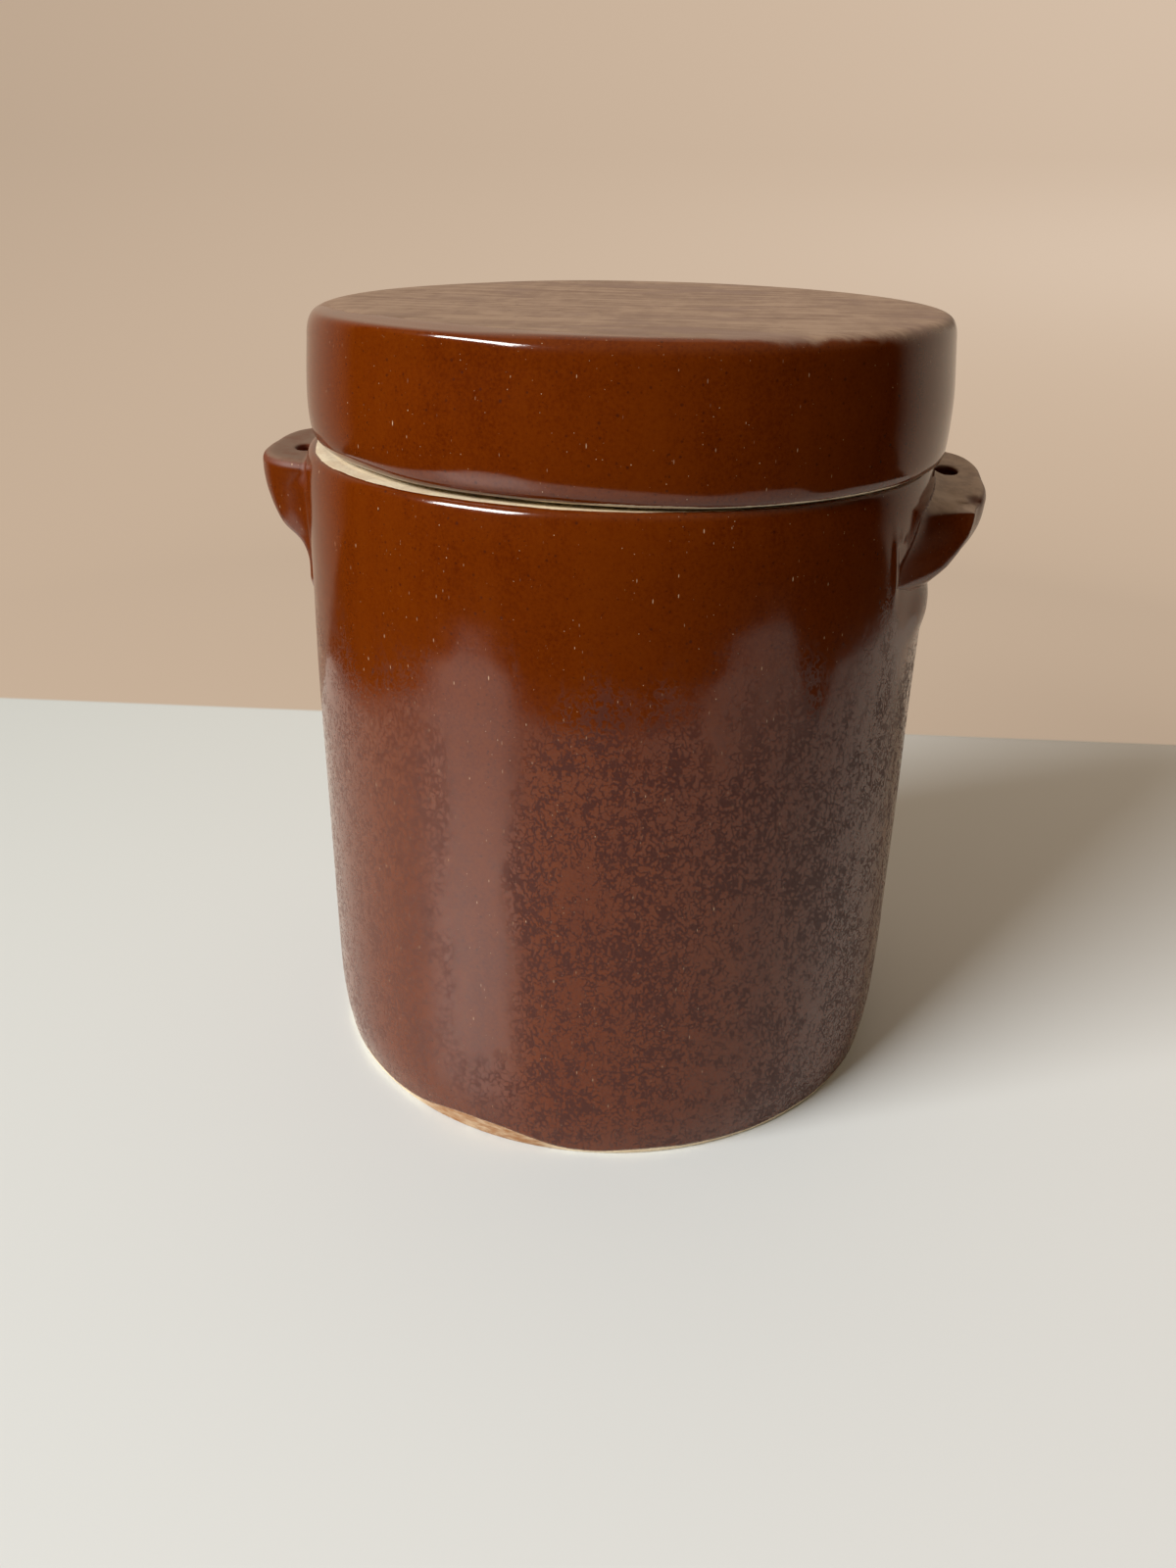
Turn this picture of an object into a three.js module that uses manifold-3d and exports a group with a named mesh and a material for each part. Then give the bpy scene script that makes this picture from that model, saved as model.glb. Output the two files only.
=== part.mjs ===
// Lidded stoneware storage crock: a thrown jar with a bare clay ledge and a neck, two pierced lugs luted to its wall,
// and a loose, hollow, flat-topped cap lid that drops over the neck and rests on the ledge.
// Millimetres, +Z up. The origin is the centre of the foot, and the lugs lie along X.
import * as THREE from "three";
import { mergeVertices } from "three/addons/utils/BufferGeometryUtils.js";
import Module from "manifold-3d";

// ---- driving dimensions -------------------------------------------------------------------------------------------
const SEGMENTS = 72; // sides of every turned shape

// jar
const WALL_R = 97.3; // outside of the wall, at mid height
const FOOT_R = 94.2; // flat of the foot
const FLOOR_T = 11; // thickness of the floor
const INSIDE_R = 89.2; // inside of the wall
const LEDGE_Z = 201.6; // bare ledge that the lid rests on
const LEDGE_R = 92.4; // outer edge of the bare ledge, where the glaze starts
const NECK_R = 84.8; // outside of the neck
const MOUTH_R = 78.6; // inside of the neck
const NECK_TOP = 220; // rim of the neck

// lid
const LID_GAP = 0.3; // daylight between the ledge and the lid's seat
const LID_OFFSET = 2.0; // the lid fits loosely and sits this far to the +X side
const LID_TOP = 241.4; // flat top of the lid
const LID_BASE_R = 96.2; // the side leans in slightly towards the top
const LID_SHOULDER_R = 93.8;
const LID_FLAT_R = 89.0; // flat of the top
const LID_INSIDE_R = 87.9; // inside of the skirt
const LID_ROOF = 232.4; // underside of the lid's plate

// lugs
const LUG_GAP = 0.3; // luting line between lug and wall
const LUG_HALF_W = 26; // half width along the wall, at the top
const LUG_REACH = 16; // how far the lug stands out from the wall
const LUG_POWER = 2.65; // plan shape: 2 is an ellipse, more is squarer
const LUG_WALL_R = 95.5; // wall radius behind a lug, where luting pressed the soft jar in
// Each lug was set on by hand: height of its top at the wall, rise of its outer edge and fall of its -Y side in degrees,
// and its upright eye: centre [x, y] as if the lug stood at +X, and half size [away from the wall, along the wall].
const LUGS = {
  lug_left: {
    azimuth: 180,
    top: 196.7,
    rise: 3.4,
    roll: 1.7,
    eye: [98.95, 6.0],
    eyeHalf: [2.65, 4.3],
  },
  lug_right: {
    azimuth: 0,
    top: 195.5,
    rise: -3.2,
    roll: 7.0,
    eye: [100.0, 3.5],
    eyeHalf: [3.45, 3.9],
  },
};

// Luting the lugs on pressed the upper wall in at both sides.
const PINCH = WALL_R - LUG_WALL_R;
const PINCH_ANGLE = 26; // degrees from the lug's centre line
const PINCH_FROM = 125; // height where it starts
const PINCH_FULL = 175;

// ---- helpers ------------------------------------------------------------------------------------------------------
const wasm = await Module();
wasm.setup();

function solid(geometry) {
  const g = geometry.clone();
  for (const name of Object.keys(g.attributes))
    if (name !== "position") g.deleteAttribute(name);
  const m = mergeVertices(g, 1e-4);
  return new wasm.Manifold(
    new wasm.Mesh({
      numProp: 3,
      vertProperties: new Float32Array(m.attributes.position.array),
      triVerts: new Uint32Array(m.index.array),
    }),
  );
}

function geometryOf(manifold) {
  const m = manifold.getMesh();
  const g = new THREE.BufferGeometry();
  const xyz = new Float32Array(m.numVert * 3);
  for (let i = 0; i < m.numVert; i++)
    xyz.set(
      m.vertProperties.subarray(i * m.numProp, i * m.numProp + 3),
      i * 3,
    );
  g.setAttribute("position", new THREE.BufferAttribute(xyz, 3));
  g.setIndex(new THREE.BufferAttribute(new Uint32Array(m.triVerts), 1));
  g.computeVertexNormals();
  return g;
}

// A turned shape: the profile [radius, height] runs anticlockwise seen with the radius to the right, from the axis at the
// bottom round the outside and back to the axis.
function turned(profile) {
  const g = new THREE.LatheGeometry(
    profile.map(([r, z]) => new THREE.Vector2(r, z)),
    SEGMENTS,
  );
  g.rotateX(Math.PI / 2);
  return g;
}

// Quarter-round from one point to another, with the round's centre given.
function round(centre, radius, fromDeg, toDeg, steps) {
  return Array.from({ length: steps + 1 }, (_, i) => {
    const a = THREE.MathUtils.degToRad(
      fromDeg + ((toDeg - fromDeg) * i) / steps,
    );
    return [
      centre[0] + radius * Math.cos(a),
      centre[1] + radius * Math.sin(a),
    ];
  });
}

// Moves the points outside the ledge in where the lugs press on the wall.
function pinch(geometry) {
  const p = geometry.attributes.position;
  for (let i = 0; i < p.count; i++) {
    const x = p.getX(i),
      y = p.getY(i),
      r = Math.hypot(x, y);
    if (r < LEDGE_R - 0.5) continue;
    const off = THREE.MathUtils.radToDeg(Math.atan2(Math.abs(y), Math.abs(x)));
    const k =
      PINCH *
      Math.exp(-Math.pow(off / PINCH_ANGLE, 2)) *
      THREE.MathUtils.smoothstep(p.getZ(i), PINCH_FROM, PINCH_FULL);
    p.setXY(i, (x * (r - k)) / r, (y * (r - k)) / r);
  }
  return geometry;
}

// ---- jar ----------------------------------------------------------------------------------------------------------
function crockBody() {
  const profile = [
    [0, 0],
    [FOOT_R, 0],
    [95.2, 0.5],
    [95.7, 2],
    [96.25, 5],
    [96.95, 10],
    [97.4, 15],
    [97.7, 24],
    [97.55, 50],
    [97.3, 90],
    [97.2, 120],
    [97.2, 145],
    [97.2, 160],
    [97.2, 175],
    [WALL_R, 192.5],
    // rounded shoulder up to the edge of the glaze
    [97.0, 196],
    [96.1, 198.7],
    [94.5, 200.7],
    [LEDGE_R, LEDGE_Z],
    // bare ledge, and the neck inside it
    [NECK_R + 1, LEDGE_Z],
    [NECK_R, LEDGE_Z + 1],
    [NECK_R - 0.3, NECK_TOP - 3],
    ...round([NECK_R - 3.1, NECK_TOP - 3], 2.8, 30, 150, 4),
    [MOUTH_R, NECK_TOP - 3],
    [MOUTH_R, 200],
    [MOUTH_R + 1.6, 196.4],
    [INSIDE_R - 2.6, 189],
    [INSIDE_R, 183],
    [INSIDE_R, 60],
    [INSIDE_R - 0.4, FLOOR_T + 14],
    ...round([INSIDE_R - 12.4, FLOOR_T + 12], 12, -15, -75, 3),
    [INSIDE_R - 14, FLOOR_T],
    [0, FLOOR_T],
  ];
  return pinch(turned(profile));
}

// ---- lid ----------------------------------------------------------------------------------------------------------
function lid() {
  const seat = LEDGE_Z + LID_GAP;
  const profile = [
    [0, LID_ROOF],
    [LID_INSIDE_R - 7, LID_ROOF],
    [LID_INSIDE_R - 2.2, LID_ROOF - 1.8],
    [LID_INSIDE_R - 0.2, LID_ROOF - 6],
    [LID_INSIDE_R, seat + 1.2],
    [LID_INSIDE_R + 0.8, seat],
    [90.4, seat],
    [93.2, seat + 1.0],
    [95.2, seat + 3.2],
    [LID_BASE_R, seat + 6.6],
    [96.1, seat + 16],
    [LID_SHOULDER_R + 0.6, LID_TOP - 7],
    [LID_SHOULDER_R - 0.5, LID_TOP - 3.6],
    [LID_SHOULDER_R - 2.0, LID_TOP - 1.4],
    [LID_SHOULDER_R - 3.6, LID_TOP - 0.3],
    [LID_FLAT_R, LID_TOP],
    [0, LID_TOP],
  ];
  return turned(profile);
}

// ---- lugs ---------------------------------------------------------------------------------------------------------
// The lug is a stack of plan outlines with a straight back inside the wall, tilted, then cut back to the wall's surface.
// [depth under the top, share of the reach, half width]
const LUG_LEVELS = {
  lug_left: [
    [0, 0.86, LUG_HALF_W - 2.1],
    [0.7, 0.95, LUG_HALF_W - 0.7],
    [2.4, 1.0, LUG_HALF_W],
    [6, 1.0, LUG_HALF_W],
    [11, 0.95, LUG_HALF_W - 0.4],
    [16.5, 0.83, LUG_HALF_W - 1],
    [21, 0.68, LUG_HALF_W - 2],
    [23.6, 0.55, LUG_HALF_W - 2.8],
    [25, 0.4, LUG_HALF_W - 4],
    [27, 0.25, LUG_HALF_W - 6],
    [30, 0.13, LUG_HALF_W - 8],
  ],
  lug_right: [
    [0, 0.86, LUG_HALF_W - 2.1],
    [0.7, 0.95, LUG_HALF_W - 0.7],
    [2.4, 1.0, LUG_HALF_W],
    [6, 1.0, LUG_HALF_W],
    [11, 0.955, LUG_HALF_W - 0.4],
    [16.5, 0.85, LUG_HALF_W - 1],
    [21, 0.71, LUG_HALF_W - 2],
    [24, 0.58, LUG_HALF_W - 2.8],
    [26, 0.42, LUG_HALF_W - 4],
    [28, 0.25, LUG_HALF_W - 6],
    [30, 0.1, LUG_HALF_W - 8],
  ],
};
const LUG_BACK = 12; // how far the uncut back reaches behind the wall

function plan(reach, half) {
  const steps = 32,
    pts = [];
  for (let i = 0; i <= steps; i++) {
    const t = -Math.PI / 2 + (Math.PI * i) / steps;
    const s =
      half *
      Math.sign(Math.sin(t)) *
      Math.pow(Math.abs(Math.sin(t)), 2 / LUG_POWER);
    const e =
      reach * Math.pow(Math.max(Math.cos(t), 0), 2 / LUG_POWER) -
      (LUG_WALL_R - Math.sqrt(LUG_WALL_R ** 2 - s * s)) *
        (1 - Math.pow(Math.max(Math.cos(t), 0), 2 / LUG_POWER));
    pts.push([e, s]);
  }
  pts.push([-LUG_BACK, half], [-LUG_BACK, -half]);
  return pts;
}

function lug({ top, rise, roll, eye, eyeHalf }, levels, side) {
  const rings = levels.map(([d, share, half]) => ({
    z: -d,
    pts: plan(LUG_REACH * share, half),
  }));
  const n = rings[0].pts.length;
  const xyz = rings.flatMap(({ z, pts }) => pts.flatMap(([x, y]) => [x, y, z]));
  const index = [];
  for (let k = 0; k + 1 < rings.length; k++)
    for (let i = 0; i < n; i++) {
      const j = (i + 1) % n,
        a = k * n + i,
        b = k * n + j,
        c = (k + 1) * n + i,
        d = (k + 1) * n + j;
      index.push(a, c, d, a, d, b);
    }
  const cap = (k, flip) => {
    const shape = rings[k].pts.map(([x, y]) => new THREE.Vector2(x, y));
    for (const [a, b, c] of THREE.ShapeUtils.triangulateShape(shape, []))
      index.push(
        ...(flip
          ? [k * n + a, k * n + c, k * n + b]
          : [k * n + a, k * n + b, k * n + c]),
      );
  };
  cap(0, false);
  cap(rings.length - 1, true);
  const g = new THREE.BufferGeometry();
  g.setAttribute("position", new THREE.Float32BufferAttribute(xyz, 3));
  g.setIndex(index);

  const tilt = new THREE.Matrix4()
    .makeTranslation(LUG_WALL_R, 0, top)
    .multiply(
      new THREE.Matrix4().makeRotationX(THREE.MathUtils.degToRad(side * roll)),
    )
    .multiply(
      new THREE.Matrix4().makeRotationY(-THREE.MathUtils.degToRad(rise)),
    );
  g.applyMatrix4(tilt);

  // upright eye right through the lug, beside the wall
  const hole = new THREE.CylinderGeometry(1, 1, 70, 28);
  hole.rotateX(Math.PI / 2);
  hole.scale(eyeHalf[0], eyeHalf[1], 1);
  hole.translate(eye[0], eye[1], top - 15);

  const wall = pinch(
    turned([
      [0, 100],
      [97.2 + LUG_GAP, 100],
      [97.2 + LUG_GAP, 120],
      [97.2 + LUG_GAP, 145],
      [97.2 + LUG_GAP, 160],
      [97.2 + LUG_GAP, 175],
      [WALL_R + LUG_GAP, 192.5],
      [97.0 + LUG_GAP, 196.1],
      [96.1 + LUG_GAP, 199],
      [94.5 + LUG_GAP, 201.1],
      [LEDGE_R, 202.5],
      [0, 202.5],
    ]),
  );
  return geometryOf(solid(g).subtract(solid(wall)).subtract(solid(hole)));
}

// ---- assembly -----------------------------------------------------------------------------------------------------
const glaze = (name, color) =>
  new THREE.MeshStandardMaterial({
    name,
    color,
    roughness: 0.25,
    metalness: 0,
  });

const crock = new THREE.Group();
const jar = new THREE.Mesh(crockBody(), glaze("glazed_stoneware", 0x6e3418));
jar.name = "crock_body";
crock.add(jar);

for (const [name, set] of Object.entries(LUGS)) {
  const right = set.azimuth === 0;
  const mesh = new THREE.Mesh(
    lug(set, LUG_LEVELS[name], right ? 1 : -1),
    glaze("glazed_stoneware", 0x6a3219),
  );
  mesh.name = name;
  mesh.rotation.z = THREE.MathUtils.degToRad(set.azimuth);
  crock.add(mesh);
}

const cap = new THREE.Mesh(lid(), glaze("glazed_stoneware", 0x6c3419));
cap.name = "lid";
cap.position.x = LID_OFFSET;
crock.add(cap);

export default crock;
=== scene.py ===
# Looks of the lidded stoneware crock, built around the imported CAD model. Metres, +Z up; the shape tables are in mm.
import math

import bpy
import numpy as np
from mathutils import Matrix, Vector


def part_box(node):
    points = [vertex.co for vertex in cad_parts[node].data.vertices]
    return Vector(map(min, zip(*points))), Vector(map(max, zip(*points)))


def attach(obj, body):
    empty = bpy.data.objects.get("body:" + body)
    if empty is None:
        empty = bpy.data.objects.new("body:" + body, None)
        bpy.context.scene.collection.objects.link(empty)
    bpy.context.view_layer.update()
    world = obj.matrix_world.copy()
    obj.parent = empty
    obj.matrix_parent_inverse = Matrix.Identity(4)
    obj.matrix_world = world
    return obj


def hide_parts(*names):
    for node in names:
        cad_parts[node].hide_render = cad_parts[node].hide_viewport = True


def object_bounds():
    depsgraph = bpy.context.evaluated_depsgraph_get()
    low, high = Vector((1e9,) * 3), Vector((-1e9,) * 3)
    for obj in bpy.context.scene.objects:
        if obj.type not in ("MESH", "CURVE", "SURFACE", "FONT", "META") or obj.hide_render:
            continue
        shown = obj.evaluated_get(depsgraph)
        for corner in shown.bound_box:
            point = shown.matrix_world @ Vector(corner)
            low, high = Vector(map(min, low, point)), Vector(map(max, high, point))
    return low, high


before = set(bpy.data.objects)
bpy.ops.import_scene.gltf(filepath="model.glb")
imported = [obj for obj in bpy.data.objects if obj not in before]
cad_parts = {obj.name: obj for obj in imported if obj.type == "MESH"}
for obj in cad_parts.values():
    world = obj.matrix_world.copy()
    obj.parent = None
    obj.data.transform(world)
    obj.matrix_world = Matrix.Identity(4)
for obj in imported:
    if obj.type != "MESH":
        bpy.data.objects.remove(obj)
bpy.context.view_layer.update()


MM = 0.001
scene = bpy.context.scene

# ---- shape of the jar's wall ---------------------------------------------------------------------------------------
WALL_R = 97.3
PINCH = 1.8  # luting the ears on pressed the upper wall in at both sides
LEDGE_Z = 201.6

OUTER = np.array([  # [radius, height] of the outside, from the foot up
    (94.6, 0.0), (95.05, 0.18), (95.35, 0.6), (95.62, 1.6), (95.8, 2.6), (96.2, 5.0), (96.55, 7.4), (96.9, 10.0),
    (97.35, 15.0), (97.55, 20.0), (97.62, 28.0), (97.6, 38.0), (97.52, 50.0), (97.4, 70.0), (97.3, 90.0),
    (97.22, 110.0), (97.18, 130.0), (97.17, 150.0), (97.18, 168.0), (97.1, 178.0), (96.93, 185.0), (96.63, 190.0),
    (96.2, 194.0), (95.68, 197.0), (95.24, 199.0), (94.9, 200.1), (94.4, 200.9), (93.75, 201.35), (93.1, 201.52), (92.4, 201.56),
])
INNER = np.array([  # ledge, neck, inside wall and floor
    (92.4, 201.56), (90.6, 201.58), (88.4, 201.5), (86.6, 201.6), (85.6, 202.1), (85.0, 203.0), (84.72, 205.0),
    (84.65, 209.0), (84.6, 213.0), (84.5, 216.4), (84.1, 218.4), (83.1, 219.5), (81.7, 219.8), (80.2, 219.5),
    (79.1, 218.4), (78.7, 216.6), (78.62, 212.0), (78.6, 206.0), (78.7, 201.0), (79.5, 197.6), (81.4, 194.6),
    (84.2, 191.6), (87.0, 188.2), (88.7, 184.4), (89.2, 180.0), (89.25, 165.0), (89.2, 140.0), (89.15, 110.0),
    (89.15, 80.0), (89.1, 55.0), (88.9, 34.0), (88.1, 25.0), (86.0, 18.2), (82.6, 13.8), (78.0, 11.6), (72.0, 11.05),
    (50.0, 11.0), (25.0, 11.0), (4.0, 11.0),
])


def smoothstep(x, a, b):
    t = np.clip((x - a) / (b - a), 0, 1)
    return t * t * (3 - 2 * t)


def dense(points, n=40):
    """Centripetal Catmull-Rom curve through the points."""
    p = np.vstack([2 * points[0] - points[1], points, 2 * points[-1] - points[-2]])
    out = []
    for i in range(1, len(p) - 2):
        p0, p1, p2, p3 = p[i - 1:i + 3]
        t0 = 0.0
        t1 = t0 + np.linalg.norm(p1 - p0) ** 0.5
        t2 = t1 + np.linalg.norm(p2 - p1) ** 0.5
        t3 = t2 + np.linalg.norm(p3 - p2) ** 0.5
        t = np.linspace(t1, t2, n, endpoint=False)[:, None]
        a1 = (t1 - t) / (t1 - t0) * p0 + (t - t0) / (t1 - t0) * p1
        a2 = (t2 - t) / (t2 - t1) * p1 + (t - t1) / (t2 - t1) * p2
        a3 = (t3 - t) / (t3 - t2) * p2 + (t - t2) / (t3 - t2) * p3
        b1 = (t2 - t) / (t2 - t0) * a1 + (t - t0) / (t2 - t0) * a2
        b2 = (t3 - t) / (t3 - t1) * a2 + (t - t1) / (t3 - t1) * a3
        out.append((t2 - t) / (t2 - t1) * b1 + (t - t1) / (t2 - t1) * b2)
    out.append(p[-2][None])
    return np.vstack(out)


def resample(curve, spacing):
    """Points along the curve, their local distance apart given by spacing(r, z)."""
    seg = np.linalg.norm(np.diff(curve, axis=0), axis=1)
    mid = (curve[1:] + curve[:-1]) / 2
    w = np.concatenate([[0], np.cumsum(seg / spacing(mid[:, 0], mid[:, 1]))])
    n = max(2, int(round(w[-1])))
    k = np.linspace(0, w[-1], n + 1)
    return np.stack([np.interp(k, w, curve[:, 0]), np.interp(k, w, curve[:, 1])], 1)


def pinch(theta, z):
    off = np.degrees(np.arctan2(np.abs(np.sin(theta)), np.abs(np.cos(theta))))
    start = np.where(np.cos(theta) > 0, 33.0, 0.0)
    return PINCH * np.exp(-(off / 26.0) ** 2) * smoothstep(z, 125 + start, 175 + start * 0.3) * (1 - 0.95 * smoothstep(z, 184, 199))


def waves(theta, terms):
    """A sum of whole-number waves round the jar, so that it closes: (count, amplitude, phase)."""
    return sum(a * np.sin(k * theta + p) for k, a, p in terms)


def turning(theta, z):
    """Traces of throwing left in the wall: a slow spiral and a few broad bands, hundredths of a millimetre."""
    u = 0.011 * np.sin(2 * math.pi * z / 13.7 + theta + 0.8 * np.sin(z / 31.0))
    u = u + 0.016 * np.sin(2 * math.pi * z / 37.0 + 1.3 + 0.6 * np.sin(theta + 0.4))
    u = u + 0.05 * np.sin(2 * theta + 0.6) * smoothstep(z, 0, 30) + 0.014 * np.sin(5 * theta + z / 40.0)
    return u


def bump_at(theta, z, az, zc, w_az, w_z, power=2.0):
    d = np.angle(np.exp(1j * (theta - math.radians(az))))
    a = np.abs(np.degrees(d) * WALL_R * math.pi / 180 / w_az) ** power + np.abs((z - zc) / w_z) ** power
    return np.exp(-a)


def handmarks(theta, z):
    """Where the right ear's clay was smeared onto the wall beside and below it."""
    u = 1.9 * bump_at(theta, z, -16.5, 163.0, 11.0, 8.6, 2.3)
    lean = theta + np.radians(0.10 * (z - 180.0))
    u = u + 0.42 * bump_at(lean, z, -32.4, 179.0, 1.5, 8.5, 2.6)
    u = u + 0.35 * bump_at(theta, z, -31.0, 187.0, 2.6, 1.3)
    return u


GLAZE_T = 0.14  # how far the glaze stands proud of the bare clay


def ledge_edge(theta):
    """Where the glaze ends on the shoulder, mm along the profile from the nominal line; positive is further in."""
    d = np.degrees(np.angle(np.exp(1j * (theta - math.radians(-168.0)))))
    return waves(theta, [(3, 0.22, 0.7), (7, 0.18, 2.1), (13, 0.12, 0.3), (29, 0.09, 1.9), (53, 0.06, 4.0)]) + 0.9 * np.exp(-(d / 11.0) ** 2)


def foot_edge(theta):
    """Height of the lower edge of the glaze."""
    z = 1.7 + waves(theta, [(2, 0.22, 1.0), (5, 0.2, 0.2), (11, 0.14, 3.0), (23, 0.09, 1.1), (47, 0.05, 5.0)])
    d = np.degrees(np.angle(np.exp(1j * (theta - math.radians(-108.0)))))
    return z + 4.6 * np.exp(-np.abs(d / 12.5) ** 3.0) + 0.5 * np.exp(-((d - 32) / 8.0) ** 2)


# ---- meshes --------------------------------------------------------------------------------------------------------
def mesh_object(name, verts, faces, attributes=None):
    mesh = bpy.data.meshes.new(name)
    mesh.from_pydata(verts.tolist(), [], faces if isinstance(faces, list) else faces.tolist())
    mesh.update()
    mesh.polygons.foreach_set("use_smooth", np.ones(len(mesh.polygons), bool))
    for key, values in (attributes or {}).items():
        at = mesh.attributes.new(key, "FLOAT", "POINT")
        at.data.foreach_set("value", np.asarray(values, np.float32))
    obj = bpy.data.objects.new(name, mesh)
    scene.collection.objects.link(obj)
    return obj


def closed_grid(rings, bottom, top):
    """Rings of points [row, column, 3], anticlockwise seen from above and rising along the outside, closed by two poles."""
    rows, cols = rings.shape[:2]
    verts = np.vstack([rings.reshape(-1, 3), bottom[None], top[None]])
    i = np.arange(rows - 1)[:, None] * cols
    j = np.arange(cols)[None]
    k = (np.arange(cols)[None] + 1) % cols
    quads = np.stack([i + j, i + k, i + cols + k, i + cols + j], -1).reshape(-1, 4)
    a, b = rows * cols, rows * cols + 1
    fan0 = [[a, (c + 1) % cols, c] for c in range(cols)]
    last = (rows - 1) * cols
    fan1 = [[b, last + c, last + (c + 1) % cols] for c in range(cols)]
    return verts, quads.tolist() + fan0 + fan1


def columns(n_fine, n_coarse):
    """Angles round the jar, closer together where the right ear's smears are."""
    lo, hi = math.radians(-42), math.radians(4)
    fine = np.linspace(lo, hi, n_fine, endpoint=False)
    return np.concatenate([fine, np.linspace(hi, lo + 2 * math.pi, n_coarse, endpoint=False)])


def jar_mesh():
    outer = dense(OUTER)
    inner = dense(INNER)

    def gap_outer(r, z):
        return np.select([z < 8.5, z < 24, z < 128, z < 150, z < 190], [0.42, 1.6, 4.2, 2.0, 1.05], 0.5)

    def gap_inner(r, z):
        return np.select([(r > 90.9) & (z > 195), (z > 200), z > 183, z > 34, r > 74], [0.26, 0.95, 2.0, 7.0, 1.8], 8.0)

    po, pi = resample(outer, gap_outer), resample(inner, gap_inner)[1:]
    under = np.array([(30.0, 0.55), (62.0, 0.5), (84.0, 0.4), (90.0, 0.2), (92.6, 0.04), (94.0, 0.0)])
    prof = np.vstack([under, po, pi])
    theta = columns(92, 300)
    th = theta[None, :]
    r, z = prof[:, :1], prof[:, 1:]
    n_under, n_outer = len(under), len(under) + len(po)
    # length along the profile from the nominal ledge edge of the glaze
    s = np.concatenate([[0], np.cumsum(np.linalg.norm(np.diff(prof, axis=0), axis=1))])[:, None]
    s_ledge = s[n_outer - 1, 0]
    row = np.arange(len(prof))[:, None]
    on_side = (row >= n_under) & (row < n_outer + 2)
    is_outer = (row >= n_under) & (row < n_outer)
    # signed distance into the glaze, mm
    to_ledge = (s_ledge - 0.75 + ledge_edge(th)) - s
    to_foot = z - foot_edge(th)
    glaze_out = np.minimum(to_ledge, to_foot)
    neck_z = 214.8 + waves(th, [(2, 0.5, 0.1), (5, 0.3, 2.2), (9, 0.2, 4.4), (17, 0.12, 1.0)])
    inside = (row > n_outer) & (r < 84.05)
    glaze_in = np.where(inside, 3.0, z - neck_z)
    glaze = np.where(row < n_outer + 14, np.maximum(glaze_out, -3.0), np.clip(glaze_in, -3.0, 3.0))
    glaze = np.where(row < n_under, -3.0 + 0 * th, glaze)
    # outward normal of the profile
    t = np.gradient(prof, axis=0)
    n = np.stack([t[:, 1], -t[:, 0]], 1)
    n /= np.linalg.norm(n, axis=1)[:, None]
    # bare clay sits lower than the glaze, which ends in a small rounded bead
    thick = -GLAZE_T * (1 - smoothstep(glaze, -0.12, 0.5))
    thick = thick + 0.035 * np.exp(-((glaze - 0.75) / 0.5) ** 2) * ((glaze > -0.5) & (glaze < 2.9))
    # the glaze pools a little in a wide roll above the foot
    rr = r + thick * n[:, :1]
    zz = z + thick * n[:, 1:] * (row >= n_under)
    fade = smoothstep(z, 3.0, 14.0) * (1 - 0.75 * smoothstep(z, 188.0, 199.0))
    side = on_side & (r > 91.0)
    rr = rr + np.where(side, turning(th, z) * fade + handmarks(th, z), 0)
    rr = rr - np.where((r > 91.9) & (z > 100), pinch(th, z), 0)
    # the ledge and neck were finished by hand
    hand = np.where((z > 199) & (r < 92.3), 1.0, 0.0)
    zz = zz + hand * waves(th, [(2, 0.05, 1.1), (4, 0.05, 2.0), (9, 0.03, 0.2)])
    neck_w = smoothstep(z, 203, 216) * np.where(row > n_outer, 1.0, 0.0)
    rr = rr + neck_w * waves(th, [(2, 0.22, 0.4), (3, 0.12, 2.6), (8, 0.05, 1.0)])
    # finger rings left on the inside of the wall
    ring_w = np.where((r < 89.6) & (r > 86.5) & (z > 22) & (z < 188), 1.0, 0.0)
    rr = rr + ring_w * (0.16 * np.sin(2 * math.pi * z / 15.0 + th) + 0.07 * np.sin(2 * math.pi * z / 6.3 + 2 * th + 1))
    rr = rr + np.where(side, 0.38 * np.exp(-(np.degrees(np.angle(np.exp(1j * (th + 0.24)))) / 24.0) ** 2) * smoothstep(z, 14, 40) * (1 - smoothstep(z, 85, 130)), 0)
    rr = rr * np.minimum(1.0, 97.66 / np.maximum(rr * np.abs(np.sin(th)), 1.0))
    zz = np.clip(zz + 0 * th, 0.0, 219.78)
    ring = np.stack([rr * np.cos(th), rr * np.sin(th), zz], -1) * MM
    verts, faces = closed_grid(ring, np.array([0, 0, 0.6 * MM]), np.array([0, 0, 11.0 * MM]))
    g = np.concatenate([(glaze + 0 * th).ravel(), [-3.0, 3.0]])
    inner_mask = np.concatenate([np.where((row > n_outer) & (r < 84.2), 1.0, 0.0).repeat(len(theta), 1).ravel(), [0.0, 1.0]])
    return mesh_object("stoneware_jar", verts, faces, {"glaze": g, "inside": inner_mask})


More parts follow.
